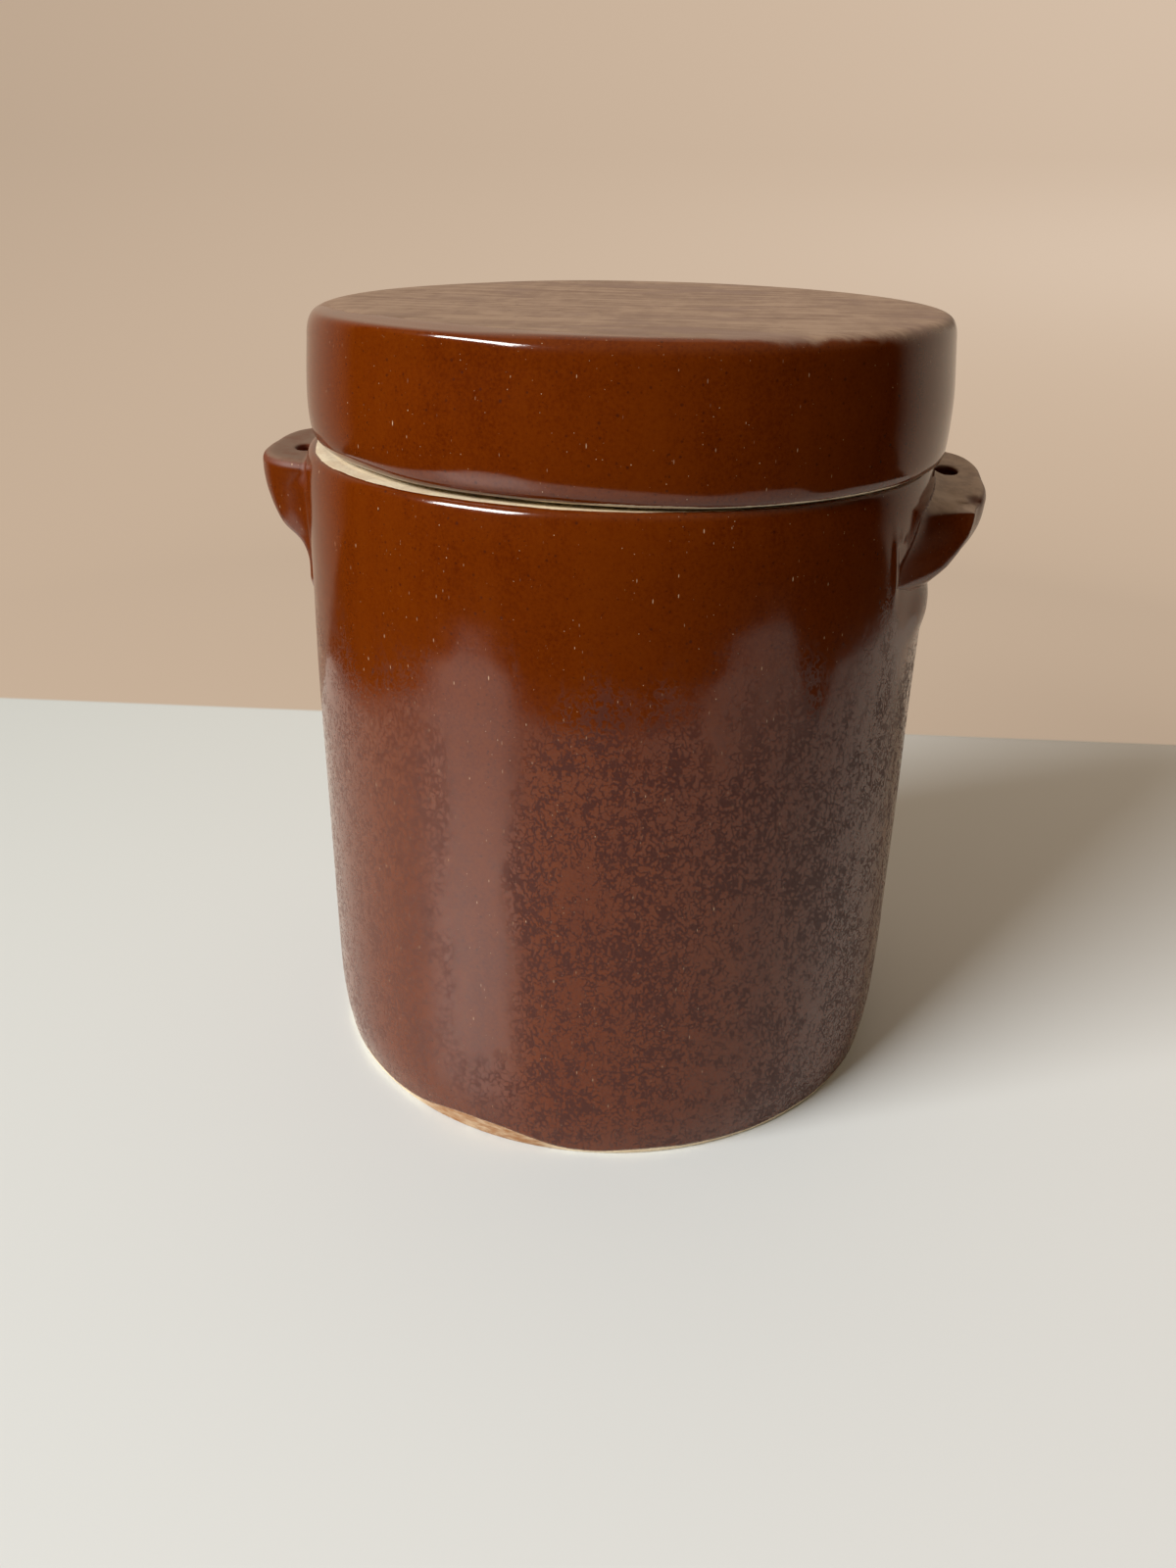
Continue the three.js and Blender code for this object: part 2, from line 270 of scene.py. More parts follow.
def jar_radius_table():
    """Signed distance from the jar's outside, on a table of radius and height."""
    p = dense(OUTER, 12)
    p = np.vstack([p, [(84.0, 201.6)]])
    rs = np.arange(78.0, 122.0, 0.2)
    zs = np.arange(118.0, 214.0, 0.2)
    R, Z = np.meshgrid(rs, zs, indexing="ij")
    q = np.stack([R.ravel(), Z.ravel()], 1)
    best = np.full(len(q), 1e9)
    for a, b in zip(p[:-1], p[1:]):
        d = b - a
        t = np.clip(((q - a) @ d) / max(d @ d, 1e-12), 0, 1)
        best = np.minimum(best, np.hypot(*(q - a - t[:, None] * d).T))
    # inside of the jar's outline?
    order = np.argsort(p[:, 1], kind="stable")
    wall = np.interp(q[:, 1], p[:-1, 1], p[:-1, 0])
    inside = (q[:, 0] < wall) & (q[:, 1] < 201.6)
    return rs, zs, np.where(inside, -best, best).reshape(R.shape)


RS, ZS, WALL_TABLE = jar_radius_table()


def wall_distance(p):
    theta = np.arctan2(p[:, 1], p[:, 0])
    z = p[:, 2]
    r = np.hypot(p[:, 0], p[:, 1]) + pinch(theta, z) - handmarks(theta, z) - turning(theta, z)
    fi = np.clip((r - RS[0]) / 0.2, 0, len(RS) - 1.001)
    fj = np.clip((z - ZS[0]) / 0.2, 0, len(ZS) - 1.001)
    i, j = fi.astype(int), fj.astype(int)
    u, v = fi - i, fj - j
    T = WALL_TABLE
    return (T[i, j] * (1 - u) * (1 - v) + T[i + 1, j] * u * (1 - v) + T[i, j + 1] * (1 - u) * v + T[i + 1, j + 1] * u * v)


# ---- the ears ------------------------------------------------------------------------------------------------------
LUG_R = 95.5
REACH = 16.0
POWER = 2.65
EARS = {
    "lug_left": dict(azimuth=180, side=-1, top=196.7, rise=3.4, roll=1.7, eye=(98.95, 6.0), half=(2.65, 4.3), fillet=5.0, flare=0.0, tail=40.5, thin=(1.8, 24.0, 33.0),
                     dents=[], levels=[
        (-6, 1.0, 26), (6, 1.0, 26), (11, 0.95, 25.6), (16.5, 0.83, 25), (21, 0.68, 24), (23.2, 0.56, 23.2), (25.0, 0.24, 23),
        (27.5, 0.11, 23), (29.8, 0.055, 23), (32, 0.03, 22.5), (35, 0.02, 22), (38.5, 0.03, 22), (42, 0.03, 21)]),
    "lug_right": dict(azimuth=0, side=1, top=195.5, rise=-3.2, roll=7.0, eye=(100.0, 3.5), half=(3.45, 3.9), fillet=3.0, flare=13.0, tail=23.0, thin=(0.0, 20.0, 25.0),
                      dents=[(98.4, -19.0, 193.8, 3.4, 0.6), (106.3, -19.3, 192.8, 2.5, 0.9)], levels=[
        (-6, 1.0, 26), (6, 1.0, 26), (10.5, 0.955, 25.6), (15.3, 0.85, 25), (19.0, 0.70, 24), (21.2, 0.55, 22.6), (22.6, 0.37, 21),
        (23.9, 0.19, 19), (25.5, 0.07, 17), (29.6, 0.02, 14)]),
}


def rot(axis, degrees):
    return np.array(Matrix.Rotation(math.radians(degrees), 3, axis))


def smin(a, b, k):
    h = np.maximum(k - np.abs(a - b), 0) / k
    return np.minimum(a, b) - h * h * k * 0.25


def smax(a, b, k):
    return -smin(-a, -b, k)


def lumps(p, seed, scale):
    """Smooth hand-made unevenness: a sum of a few waves in fixed random directions."""
    rng = np.random.default_rng(seed)
    out = np.zeros(len(p))
    for k in range(9):
        d = rng.normal(size=3)
        d *= (0.7 + 0.9 * rng.random()) / np.linalg.norm(d) / scale
        out += np.sin(p @ d + rng.random() * 6.28) / 3.0
    return out


def ear_parts(p, e):
    """Distances to the ear's own lump and to its eye, for points in the ear's frame as if it stood at +X."""
    M = rot("X", e["side"] * e["roll"]) @ rot("Y", -e["rise"])
    lv = np.array(e["levels"], float)
    at = np.arange(-12.0, 60.0, 0.25)
    blur = np.exp(-0.5 * (np.arange(-4.0, 4.01, 0.25) / 1.4) ** 2)
    blur /= blur.sum()
    pad = len(blur) // 2
    shares = np.convolve(np.pad(np.interp(at, lv[:, 0], lv[:, 1]), pad, "edge"), blur, "valid")
    halves = np.convolve(np.pad(np.interp(at, lv[:, 0], lv[:, 2]), pad, "edge"), blur, "valid")

    def body(p):
        q = (p - np.array([LUG_R, 0, e["top"]])) @ M
        d = -q[:, 2]
        share = np.interp(d, at, shares)
        half = np.interp(d, at, halves)
        a = np.maximum(REACH * share, 0.25)
        s = q[:, 1]
        drop = LUG_R - np.sqrt(np.maximum(LUG_R ** 2 - s * s, 1))
        out = (q[:, 0] + drop) / (1 + drop / a)
        f = ((np.maximum(out, 0) / a) ** POWER + np.abs(s / half) ** POWER) ** (1 / POWER)
        return (f - 1) * 8.0

    def normalised(fn, p, h=0.15):
        f0 = fn(p)
        g = np.stack([(fn(p + h * v) - fn(p - h * v)) / (2 * h) for v in np.eye(3)], 1)
        return f0 / np.maximum(np.linalg.norm(g, axis=1), 0.2)

    def eye(p):
        ex, ey = e["eye"]
        hx, hy = e["half"]
        return np.sqrt(((p[:, 0] - ex) / hx) ** 2 + ((p[:, 1] - ey) / hy) ** 2) - 1

    q = (p - np.array([LUG_R, 0, e["top"]])) @ M
    return normalised(body, p), q[:, 2], normalised(eye, p)


def ear_distance(p, e, seed):
    """p in mm, in the row frame."""
    flip = -1.0 if e["azimuth"] == 180 else 1.0
    local = p * np.array([flip, flip, 1.0])
    side, up, eye = ear_parts(local, e)
    side = np.maximum(side, -4.0)
    uneven = lumps(local, seed, 5.0) * 0.16 + lumps(local, seed + 5, 2.4) * 0.05
    for x, y, z, width, depth in e["dents"]:
        uneven = uneven + depth * np.exp(-((local[:, 0] - x) ** 2 + (local[:, 1] - y) ** 2 + (local[:, 2] - z) ** 2) / width ** 2)
    # the ear thins out into the wall at its lower end
    side = side + e["thin"][0] * smoothstep(-up, *e["thin"][1:]) + 9.0 * smoothstep(-up, e["tail"] - 3.5, e["tail"] + 11.0)
    side = side + 18.0 * smoothstep(-up, e["tail"] + 4.5, e["tail"] + 11.0)
    lump = smax(side, up, 3.4) + uneven
    k = 1.6 + e["fillet"] * smoothstep(-up, 1.0, 9.0)
    # clay drawn out from the ear's front onto the wall: narrow at the ear's flat top, wider further down
    phi = np.degrees(np.arctan2(-local[:, 1], local[:, 0]))
    narrow = 2.2 + 4.2 * (1 - smoothstep(-up, -1.0, 12.0))
    drawn = e["flare"] * np.clip((35.5 - phi) / 21.5, 0, 1) ** narrow * smoothstep(phi, -8.0, 0.0)
    down = -up + 4.5 * smoothstep(phi, 16.0, 32.0)
    outline = e["flare"] * np.interp(down, [4.7, 9.3, 13.1, 16.3, 18.7, 20.9, 22.4, 24.1], [1.1, 0.94, 0.76, 0.56, 0.36, 0.18, 0.05, 0.0])
    flare = np.maximum(smin(drawn, outline, 2.4), 0) * smoothstep(-up, -0.8, 2.4)
    sunk = 1.1 * smoothstep(lump - k, -1.2, 2.5) * (1 - smoothstep(flare, 0.06, 0.5))
    wall = wall_distance(p) + 0.03 + sunk + 0.6 * smoothstep(p[:, 2], 198.2, 200.0) - flare
    d = smin(lump, wall, k)
    # the eye opens under the lump and leaves no groove in the thin clay below
    d = smax(d, -eye - 6.0 * smoothstep(-up, 23.5, 30.0), 1.5)
    return d, np.minimum(lump - k - 2.5, (0.05 - flare) * 8.0), lump


def surface_nets(fn, lo, hi, h):
    n = np.ceil((np.array(hi) - lo) / h).astype(int) + 1
    axes = [lo[i] + h * np.arange(n[i]) for i in range(3)]
    G = np.stack(np.meshgrid(*axes, indexing="ij"), -1)
    D = fn(G.reshape(-1, 3)).reshape(n)
    S = D < 0
    c = n - 1
    corners = [(i, j, k) for i in (0, 1) for j in (0, 1) for k in (0, 1)]

    def part(A, o):
        return A[o[0]:o[0] + c[0], o[1]:o[1] + c[1], o[2]:o[2] + c[2]]

    count = sum(part(S, o).astype(int) for o in corners)
    active = (count > 0) & (count < 8)
    acc = np.zeros(tuple(c) + (3,))
    cnt = np.zeros(tuple(c))
    for a in corners:
        for ax in range(3):
            if a[ax]:
                continue
            b = list(a)
            b[ax] = 1
            da, db = part(D, a), part(D, b)
            cross = (da < 0) != (db < 0)
            t = np.where(cross, da / np.where(cross, da - db, 1), 0)
            pt = np.zeros(tuple(c) + (3,))
            for i in range(3):
                pt[..., i] = a[i]
            pt[..., ax] += t
            acc += np.where(cross[..., None], pt, 0)
            cnt += cross
    ids = -np.ones(tuple(c), int)
    ids[active] = np.arange(active.sum())
    base = np.stack(np.meshgrid(*[np.arange(m) for m in c], indexing="ij"), -1)
    verts = (base[active] + acc[active] / cnt[active][:, None]) * h + lo
    quads = []
    for ax in range(3):
        u, v = [i for i in range(3) if i != ax]
        sl0 = [slice(1, n[i] - 1) for i in range(3)]
        sl1 = list(sl0)
        sl0[ax], sl1[ax] = slice(0, n[ax] - 1), slice(1, n[ax])
        s0, s1 = S[tuple(sl0)], S[tuple(sl1)]
        for flip in (False, True):
            where = np.argwhere((s0 & ~s1) if not flip else (~s0 & s1))
            if not len(where):
                continue
            pos = where.copy()
            pos[:, u] += 1
            pos[:, v] += 1
            cells = []
            for du, dv in ((0, 0), (-1, 0), (-1, -1), (0, -1)):
                q = pos.copy()
                q[:, u] += du
                q[:, v] += dv
                cells.append(ids[q[:, 0], q[:, 1], q[:, 2]])
            f = np.stack(cells, 1)
            if flip != (ax == 1):
                f = f[:, ::-1]
            quads.append(f)
    return verts, np.vstack(quads)


def largest_part(verts, quads):
    """Drops any crumbs that aren't joined to the main piece."""
    label = np.arange(len(verts))
    while True:
        new = label.copy()
        np.minimum.at(new, quads.ravel(), np.repeat(label[quads].min(1), 4))
        new = new[new]
        if (new == label).all():
            break
        label = new
    kept = label == np.bincount(label).argmax()
    index = np.cumsum(kept) - 1
    return verts[kept], index[quads[kept[quads[:, 0]]]]


def ear_mesh(node, name, seed):
    e = EARS[node]
    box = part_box(node)
    flip = -1.0 if e["azimuth"] == 180 else 1.0

    def closed(p):
        d, reach, lump = ear_distance(p, e, seed)
        # keep a skin that reaches just under the wall's surface, and only near the ear
        return np.maximum(np.maximum(d, -(wall_distance(p) + 2.4)), reach)

    h = 0.62
    lo = np.array([74.0, -58.0, 146.0])
    hi = np.array([113.0, 40.0, 203.0])
    if flip < 0:
        lo, hi = np.array([-113.0, -40.0, 142.0]), np.array([-74.0, 42.0, 203.0])
    verts, quads = largest_part(*surface_nets(closed, lo, hi, h))

    def grad(fn, p, s=0.08):
        return np.stack([(fn(p + s * v) - fn(p - s * v)) / (2 * s) for v in np.eye(3)], 1)

    for _ in range(3):
        f = closed(verts)
        g = grad(closed, verts)
        step = f / np.maximum((g * g).sum(1), 0.2)
        verts = verts - np.clip(step, -0.4, 0.4)[:, None] * g
    outer = lambda p: ear_distance(p, e, seed)[0]
    g = grad(outer, verts, 0.12)
    g /= np.maximum(np.linalg.norm(g, axis=1), 1e-9)[:, None]
    w = grad(wall_distance, verts, 0.12)
    w /= np.maximum(np.linalg.norm(w, axis=1), 1e-9)[:, None]
    over = wall_distance(verts)
    near = 1 - smoothstep(over, 0.0, 0.28)
    skin = smoothstep(over, -0.6, -0.15)
    normal = g * (1 - near[:, None]) + w * near[:, None]
    normal /= np.maximum(np.linalg.norm(normal, axis=1), 1e-9)[:, None]
    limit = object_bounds()
    verts[:, 0] = np.clip(verts[:, 0], limit[0][0] / MM + 0.01, limit[1][0] / MM - 0.01)
    obj = mesh_object(name, verts * MM, quads, {"wall": over})
    mesh = obj.data
    face_n = np.zeros((len(mesh.vertices), 3))
    mesh.vertices.foreach_get("normal", flat := np.zeros(len(mesh.vertices) * 3, np.float32))
    face_n = flat.reshape(-1, 3)
    final = np.where(skin[:, None] > 0.5, normal, face_n)
    mesh.normals_split_custom_set_from_vertices(final.tolist())
    return obj


# ---- the lid -------------------------------------------------------------------------------------------------------
LID_X = 2.0


def lid_mesh():
    seat = LEDGE_Z + 0.3
    under = np.array([(30.0, 232.4), (60.0, 232.35), (79.0, 232.2), (83.6, 231.5), (86.3, 229.6), (87.5, 226.4), (87.8, 220.0),
                      (87.85, 212.0), (87.9, 206.0), (88.0, 203.4), (88.35, 202.4), (89.1, seat + 0.02), (90.2, seat)])
    # the lower corner and the top's edge are rounder on the left than on the right, so there are two profiles
    low_l = [(89.4, seat), (90.4, seat + 0.3), (91.7, seat + 0.95), (92.9, seat + 1.85), (93.9, seat + 3.0), (94.7, seat + 4.5),
             (95.3, seat + 6.6), (95.62, seat + 9.4), (95.72, seat + 12.6), (95.6, seat + 17.5), (95.2, 225.0), (94.75, 230.0)]
    low_r = [(91.4, seat), (92.8, seat + 0.1), (94.0, seat + 0.5), (94.85, seat + 1.25), (95.35, seat + 2.5),
             (95.65, seat + 4.5), (95.8, seat + 7.2), (95.9, seat + 11.0), (95.95, seat + 14.5), (95.85, seat + 18.0), (95.45, 225.0), (94.9, 230.0)]
    low_m = [(90.2, seat), (91.5, seat + 0.12), (92.7, seat + 0.55), (93.8, seat + 1.4), (94.7, seat + 2.7),
             (95.3, seat + 4.7), (95.7, seat + 7.3), (95.88, seat + 11.0), (95.95, seat + 14.5), (95.85, seat + 18.0), (95.45, 225.0), (94.9, 230.0)]
    top_l = [(94.55, 232.5), (94.5, 234.6), (94.48, 236.2), (94.46, 237.4), (94.43, 238.4), (94.33, 239.3), (94.05, 240.05),
             (93.5, 240.5), (92.4, 240.75), (90.0, 240.92), (87.5, 241.1), (85.0, 241.26), (82.5, 241.34), (79.0, 241.35)]
    top_r = [(94.65, 232.5), (94.45, 234.4), (94.3, 235.9), (94.1, 237.2), (93.75, 238.5), (93.1, 239.7), (92.1, 240.6),
             (90.7, 241.12), (89.0, 241.28), (86.5, 241.33), (80.0, 241.33)]
    top_far = [(94.5, 232.5), (94.3, 234.2), (93.95, 235.8), (93.45, 237.1), (92.8, 238.2), (91.9, 239.15), (90.8, 239.8),
               (89.2, 240.35), (87.0, 240.8), (84.5, 241.1), (81.5, 241.28), (78.5, 241.34)]
    end = [(62.0, 241.2), (35.0, 240.98), (12.0, 240.88)]

    def gap_under(r, z):
        return np.select([z < 204.5, z < 227, r > 78], [0.45, 2.2, 0.8], 5.0)

    def along(points, knots):
        """The same share of the way along each profile, so that two profiles have matching rows."""
        c = dense(np.array(points))
        w = np.concatenate([[0], np.cumsum(np.linalg.norm(np.diff(c, axis=0), axis=1))])
        w /= w[-1]
        return np.stack([np.interp(knots, w, c[:, 0]), np.interp(knots, w, c[:, 1])], 1)

    p0 = resample(dense(under), gap_under)
    k_low = np.concatenate([np.linspace(0, 0.36, 26), np.linspace(0.36, 1, 14)[1:]])
    k_top = np.concatenate([np.linspace(0, 0.12, 3), np.linspace(0.12, 0.86, 34)[1:], np.linspace(0.86, 1, 5)[1:]])
    k_end = np.linspace(0, 1, 22)[1:]
    left = np.vstack([along(low_l, k_low), along(low_l[-1:] + top_l, k_top)[1:], along(top_l[-1:] + end, k_end)])
    right = np.vstack([along(low_r, k_low), along(low_r[-1:] + top_r, k_top)[1:], along(top_r[-1:] + end, k_end)])
    round_ = np.vstack([along(low_l, k_low), along(low_l[-1:] + top_far, k_top)[1:], along(top_far[-1:] + end, k_end)])
    row = np.arange(len(p0) + len(left))[:, None]
    n0, n1 = len(p0), len(p0) + len(k_low) + 2
    theta = np.linspace(0, 2 * math.pi, 420, endpoint=False)
    th = theta[None, :]
    turn = np.degrees(th) % 360
    share = smoothstep(turn, 120.0, 150.0) * (1 - smoothstep(turn, 244.0, 268.0))
    middle, right_low = along(low_m, k_low), right
    far = np.angle(np.exp(1j * (th - math.radians(-190.0))))
    far = np.exp(-np.abs(np.degrees(far) / 47.0) ** 4)
    r = np.vstack([p0[:, :1] + 0 * th, left[:, :1] * share + right[:, :1] * (1 - share)])
    z = np.vstack([p0[:, 1:] + 0 * th, left[:, 1:] * share + right[:, 1:] * (1 - share)])
    n2 = len(p0) + len(k_low)
    turn = np.degrees(th) % 360
    low = smoothstep(turn, 110.0, 150.0) * (1 - smoothstep(turn, 221.0, 244.0))
    tight = smoothstep(turn, 262.0, 300.0) + 1 - smoothstep(turn, 60.0, 110.0)
    for k, part in ((0, r), (1, z)):
        mid = right_low[:len(k_low), k:k + 1] * tight + middle[:, k:k + 1] * (1 - tight)
        part[len(p0):n2] = left[:len(k_low), k:k + 1] * low + mid * (1 - low)
    r[n2:] = r[n2:] * (1 - far) + round_[len(k_low):, :1] * far
    z[n2:] = z[n2:] * (1 - far) + round_[len(k_low):, 1:] * far
    prof = np.vstack([p0, right])
    top = row >= n1 + 4
    side_w = ((row >= n0) & (row < n1)).astype(float) * smoothstep(z, seat + 2, seat + 9)
    r = r + side_w * (0.010 * np.sin(2 * math.pi * z / 9.5 + th) + 0.03 * np.sin(3 * th + 0.5) + 0.010 * np.sin(7 * th + z / 9))
    # the flat has slight hollows from turning and drying
    f = smoothstep(88.0 - r, 0.0, 12.0) * top
    x, y = r * np.cos(th), r * np.sin(th)
    z = z - f * (0.14 * np.exp(-(((x - 6) / 26) ** 2 + ((y + 30) / 17) ** 2)) - 0.03 * np.sin(r / 7.0) - 0.03 * np.sin(x / 17 + y / 31))
    # dried a little out of true: at the front left the lower edge stands clear of the ledge
    clear = smoothstep(turn, 196.0, 232.0) * (1 - smoothstep(turn, 250.0, 292.0))
    z = z + 0.75 * clear * (1 - smoothstep(z, 204.0, 214.0)) * np.where(row > 3, smoothstep(r, 87.0, 89.0), 0)
    seat_w = (z < 202.6).astype(float)
    z = z + seat_w * 0.04 * (1 + np.sin(3 * th + 1.0))
    z = np.minimum(z, 241.38)
    # bare seat and skirt inside, glaze edge just round the lower corner
    s = np.concatenate([[0], np.cumsum(np.linalg.norm(np.diff(prof, axis=0), axis=1))])[:, None]
    edge = s[n0 - 1, 0] + 1.6 + 3.0 * np.maximum(tight, smoothstep(turn, 246.0, 276.0)) + waves(th, [(3, 0.25, 0.2), (8, 0.2, 1.5), (19, 0.12, 2.5), (37, 0.08, 0.9)])
    glaze = np.where(row < n1, np.clip(s - edge, -3.0, 3.0), 3.0)
    hollow = np.where(row < n0, 1.0, 0.0) + 0 * th
    deg = np.degrees(th)
    ends = np.interp(deg, [0, 60, 120, 160, 180, 188, 197, 217, 226, 234, 241, 252, 262, 272, 284, 295, 330, 360],
                     [93.0, 92.2, 91.0, 90.5, 90.0, 89.6, 89.2, 86.2, 83.7, 83.1, 82.5, 84.0, 85.2, 88.9, 90.4, 92.4, 93.2, 93.0])
    ends = ends + waves(th, [(17, 0.25, 0.3), (31, 0.2, 2.0), (57, 0.14, 1.0)])
    skin = np.where(row >= n1, np.clip(ends - r, -4.0, 4.0), -4.0)
    ring = np.stack([r * np.cos(th) + LID_X, r * np.sin(th), z], -1) * MM
    verts, faces = closed_grid(ring, np.array([LID_X, 0, 232.4]) * MM, np.array([LID_X, 0, 240.83]) * MM)
    return mesh_object("stoneware_lid", verts, faces, {
        "glaze": np.concatenate([glaze.ravel(), [-3.0, 3.0]]),
        "inside": np.concatenate([hollow.ravel(), [1.0, 0.0]]),
        "skin": np.concatenate([skin.ravel(), [-4.0, 4.0]]),
    })


# ---- materials -----------------------------------------------------------------------------------------------------
class Nodes:
    """Short names for building a shader."""

    def __init__(self, name):
        self.material = bpy.data.materials.new(name)
        self.material.use_nodes = True
        self.tree = self.material.node_tree
        self.tree.nodes.clear()
        self.out = self.tree.nodes.new("ShaderNodeOutputMaterial")

    def node(self, kind, **props):
        n = self.tree.nodes.new(kind)
        for k, v in props.items():
            setattr(n, k, v)
        return n

    def put(self, socket, value):
        if isinstance(value, bpy.types.NodeSocket):
            self.tree.links.new(value, socket)
        elif value is not None:
            socket.default_value = value

    def math(self, op, a, b=None, c=None, clamp=False):
        n = self.node("ShaderNodeMath", operation=op, use_clamp=clamp)
        for s, v in zip(n.inputs, (a, b, c)):
            self.put(s, v)
        return n.outputs[0]

    def add(self, a, b):
        return self.math("ADD", a, b)

    def mul(self, a, b):
        return self.math("MULTIPLY", a, b)

    def sub(self, a, b):
        return self.math("SUBTRACT", a, b)

    def step(self, v, lo, hi, a=0.0, b=1.0, smooth=True):
        n = self.node("ShaderNodeMapRange", interpolation_type="SMOOTHSTEP" if smooth else "LINEAR")
        for s, x in zip(n.inputs, (v, lo, hi, a, b)):
            self.put(s, x)
        return n.outputs[0]

    def mix(self, f, a, b):
        n = self.node("ShaderNodeMix", data_type="FLOAT")
        self.put(n.inputs[0], f)
        self.put(n.inputs[2], a)
        self.put(n.inputs[3], b)
        return n.outputs[0]

    def blend(self, f, a, b, mode="MIX"):
        n = self.node("ShaderNodeMix", data_type="RGBA", blend_type=mode)
        self.put(n.inputs[0], f)
        for s, v in ((n.inputs[6], a), (n.inputs[7], b)):
            self.put(s, (*v, 1) if isinstance(v, tuple) and len(v) == 3 else v)
        return n.outputs[2]

    def scaled(self, vec, factors, shift=(0, 0, 0)):
        n = self.node("ShaderNodeMapping")
        self.put(n.inputs[0], vec)
        n.inputs["Scale"].default_value = factors
        n.inputs["Location"].default_value = shift
        return n.outputs[0]

    def noise(self, vec, scale, detail=2.0, rough=0.5, distortion=0.0):
        n = self.node("ShaderNodeTexNoise", noise_dimensions="3D", normalize=True)
        self.put(n.inputs["Vector"], vec)
        n.inputs["Scale"].default_value = scale
        n.inputs["Detail"].default_value = detail
        n.inputs["Roughness"].default_value = rough
        n.inputs["Distortion"].default_value = distortion
        return n.outputs[0]

    def cells(self, vec, scale, out="Distance", feature="F1", randomness=1.0):
        n = self.node("ShaderNodeTexVoronoi", voronoi_dimensions="3D", feature=feature)
        self.put(n.inputs["Vector"], vec)
        n.inputs["Scale"].default_value = scale
        n.inputs["Randomness"].default_value = randomness
        return n.outputs[out]

    def coords(self):
        """Object coordinates in millimetres, and their parts."""
        t = self.node("ShaderNodeTexCoord")
        mm = self.scaled(t.outputs["Object"], (1000, 1000, 1000))
        sep = self.node("ShaderNodeSeparateXYZ")
        self.put(sep.inputs[0], mm)
        return mm, sep.outputs[0], sep.outputs[1], sep.outputs[2]

    def attribute(self, name):
        return self.node("ShaderNodeAttribute", attribute_name=name, attribute_type="GEOMETRY").outputs["Fac"]

    def red(self, cell_color):
        s = self.node("ShaderNodeSeparateColor")
        self.put(s.inputs[0], cell_color)
        return s.outputs[0], s.outputs[1], s.outputs[2]


def specks(g, vec, scale, size, share, soft=0.35):
    """Round spots: about `share` of the cells hold one, `size` is its radius in cells."""
    v = g.node("ShaderNodeTexVoronoi", voronoi_dimensions="3D", feature="F1")
    g.put(v.inputs["Vector"], vec)
    v.inputs["Scale"].default_value = scale
    r, gr, b = g.red(v.outputs["Color"])
    radius = g.mul(g.step(r, 1 - share, 1 - share + 0.02, 0.0, 1.0), g.add(g.mul(gr, size * 0.7), size * 0.6))
    return g.step(v.outputs["Distance"], radius, g.mul(radius, soft), 0.0, 1.0)


def pale_marks(g, mm, scale, size, shift, stretch, turn=(0, 0, 0)):
    """Pinholes and short scratches that show pale, most of them faint."""
    vec = g.scaled(mm, stretch, shift)
    vec.node.inputs["Rotation"].default_value = turn
    v = g.node("ShaderNodeTexVoronoi", voronoi_dimensions="3D", feature="F1")
    g.put(v.inputs["Vector"], vec)
    v.inputs["Scale"].default_value = scale
    r, gr, b = g.red(v.outputs["Color"])
    radius = g.add(g.mul(gr, size * 0.9), size * 0.55)
    spot = g.step(v.outputs["Distance"], radius, g.mul(radius, 0.4), 0.0, 1.0)
    return g.mul(spot, g.step(r, 0.35, 0.95, 0.0, 1.0, False))


GLAZE_DEEP = (0.070, 0.0088, 0.0003)
GLAZE = (0.113, 0.0182, 0.0005)
GLAZE_WARM = (0.134, 0.025, 0.0008)


